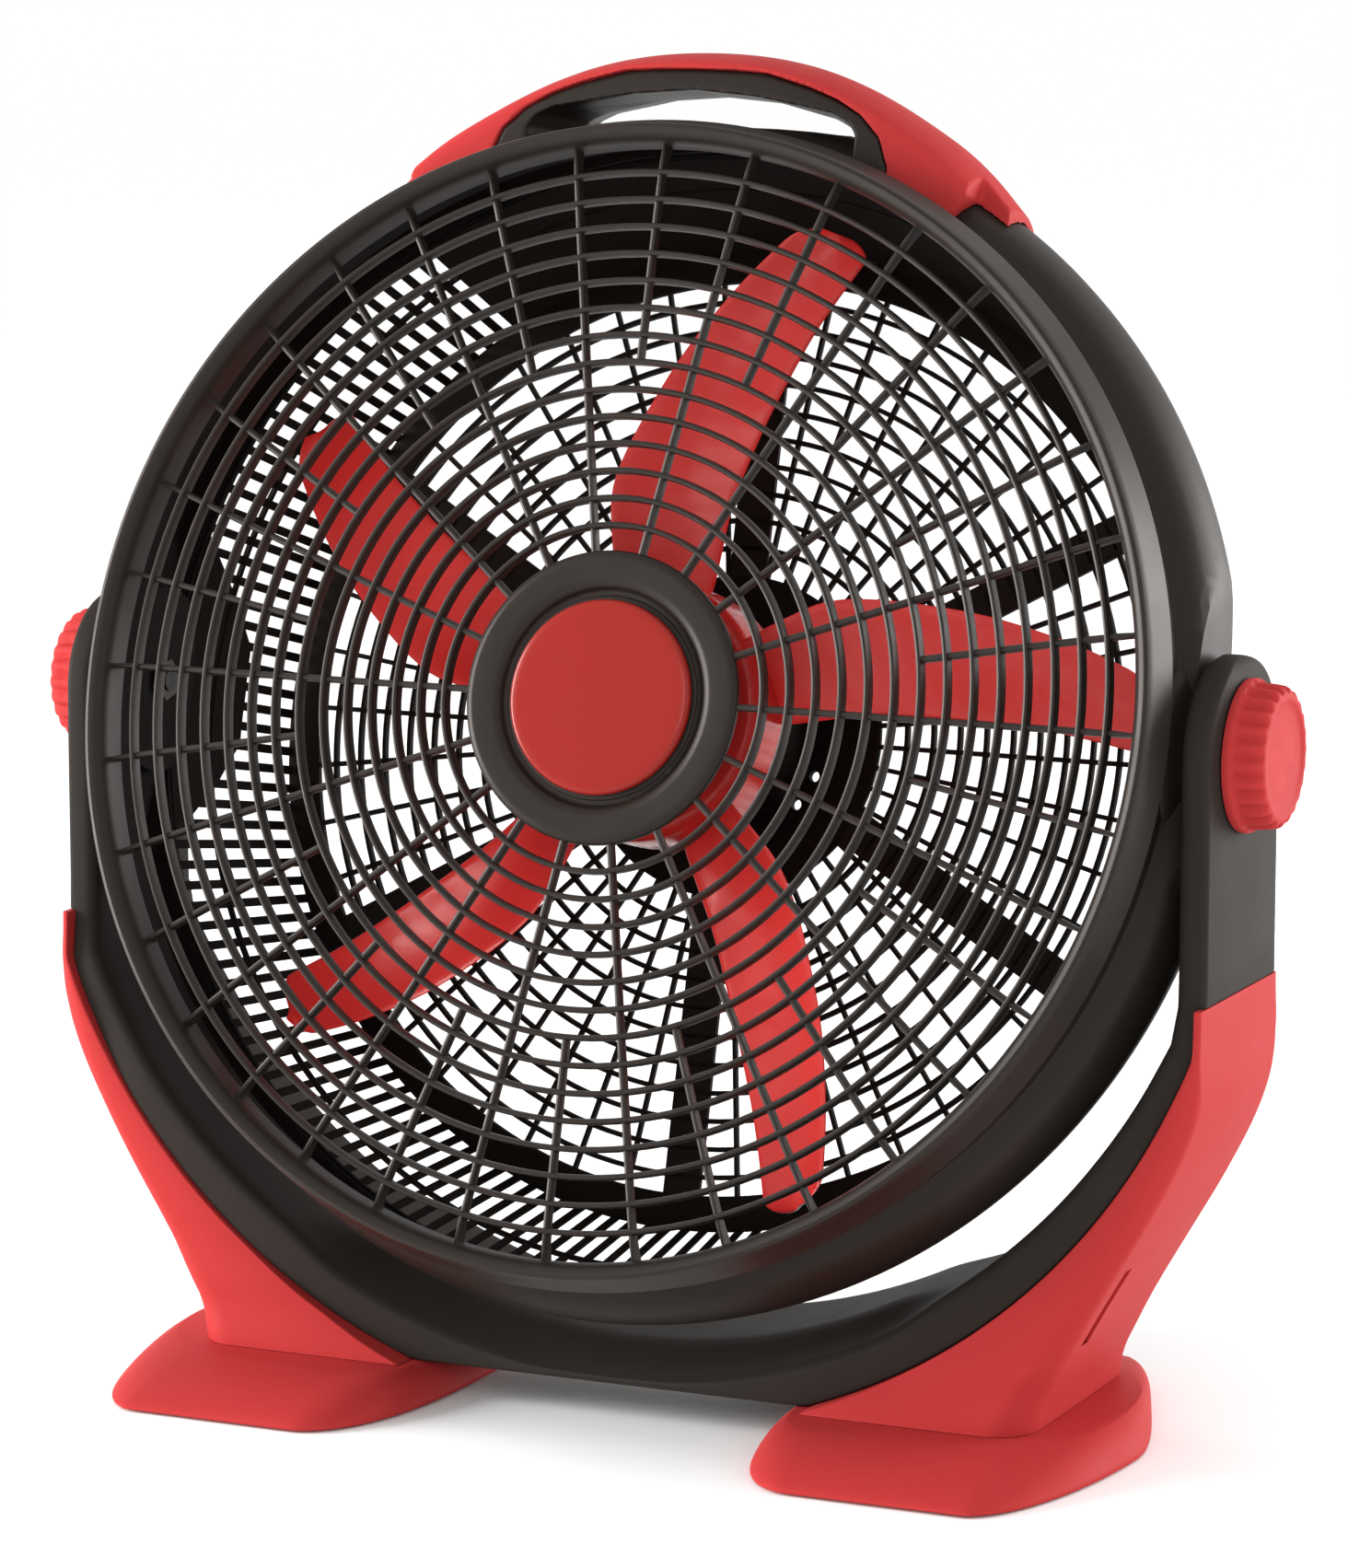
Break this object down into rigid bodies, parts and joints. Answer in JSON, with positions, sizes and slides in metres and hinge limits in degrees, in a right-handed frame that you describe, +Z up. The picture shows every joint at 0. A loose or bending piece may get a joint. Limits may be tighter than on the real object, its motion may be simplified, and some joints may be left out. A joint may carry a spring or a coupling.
{
  "type": "axial air mover",
  "caption": "Floor fan with a round grilled drum head, carry handle and red bladed wheel, tilting between the arms of a U-shaped yoke on two wide feet.",
  "frame": {"origin": "On the floor, at the middle of the object's box: midway between the two feet, 6 mm behind the tilt axis.", "axes": "+Z is up, the fan blows towards -Y, and +X runs along the tilt axis, to the right of someone facing the front grille."},
  "size_m": [0.5948, 0.2763, 0.6065],
  "materials": {
    "shell_black": "fine-textured warm black moulded plastic",
    "shell_red": "satin red moulded plastic",
    "wheel_red": "glossy red moulded plastic",
    "badge_red": "polished red plastic cap",
    "pad_rubber": "soft black rubber",
    "steel": "zinc-plated steel",
    "dark_steel": "black-oxide steel",
    "motor_alloy": "cast aluminium",
    "winding_copper": "varnished copper winding on a steel stack"
  },
  "bodies": {
    "stand": {"foot_left": "shell_red", "foot_pad_left_back": "pad_rubber", "foot_pad_left_front": "pad_rubber", "foot_pad_right_back": "pad_rubber", "foot_pad_right_front": "pad_rubber", "foot_right": "shell_red", "foot_screw_left_back": "steel", "foot_screw_left_front": "steel", "foot_screw_right_back": "steel", "foot_screw_right_front": "steel", "friction_washer_left": "pad_rubber", "friction_washer_right": "pad_rubber", "leg_cover_left": "shell_red", "leg_cover_right": "shell_red", "yoke_frame": "shell_black"},
    "head": {"cord_inlet": "pad_rubber", "cover_screw_1": "steel", "cover_screw_2": "steel", "cover_screw_3": "steel", "cover_screw_4": "steel", "drum_shell": "shell_black", "front_bearing": "steel", "front_grille": "shell_black", "grille_badge": "badge_red", "handle_cover": "shell_red", "handle_grip": "shell_black", "motor_cover": "shell_black", "motor_front_bell": "motor_alloy", "motor_rear_bell": "motor_alloy", "motor_screw_1": "steel", "motor_screw_2": "steel", "motor_screw_3": "steel", "motor_screw_4": "steel", "motor_shroud": "shell_black", "motor_stator": "winding_copper", "pivot_nut_left": "shell_black", "pivot_nut_right": "shell_black", "rear_bearing": "steel", "rear_grille": "shell_black", "run_capacitor": "shell_black", "speed_switch": "shell_black"},
    "rotor": {"fan_wheel": "wheel_red", "spinner_nut": "shell_black", "motor_shaft": "steel", "motor_rotor": "steel"},
    "knob_left": {"tilt_knob_left": "shell_red", "pivot_bolt_left": "dark_steel"},
    "knob_right": {"tilt_knob_right": "shell_red", "pivot_bolt_right": "dark_steel"},
    "speed_dial": {"speed_knob": "shell_red"}
  },
  "joints": [
    {"name": "head_tilt", "type": "hinge", "parent": "stand", "child": "head", "pos_m": [0, -0.00615, 0.314], "axis": [-1, 0, 0], "range_deg": [-30, 75]},
    {"name": "fan_spin", "type": "hinge", "parent": "head", "child": "rotor", "pos_m": [0, -0.00615, 0.314], "axis": [0, -0.9659, 0.2588], "continuous": true},
    {"name": "left_knob_turn", "type": "hinge", "parent": "stand", "child": "knob_left", "pos_m": [-0.288, -0.00615, 0.314], "axis": [-1, 0, 0], "range_deg": [0, 720]},
    {"name": "right_knob_turn", "type": "hinge", "parent": "stand", "child": "knob_right", "pos_m": [0.288, -0.00615, 0.314], "axis": [1, 0, 0], "range_deg": [0, 720]},
    {"name": "speed_turn", "type": "hinge", "parent": "head", "child": "speed_dial", "pos_m": [0, -0.00382, 0.32269], "axis": [0, 0.9659, -0.2588], "range_deg": [0, 135]}
  ]
}
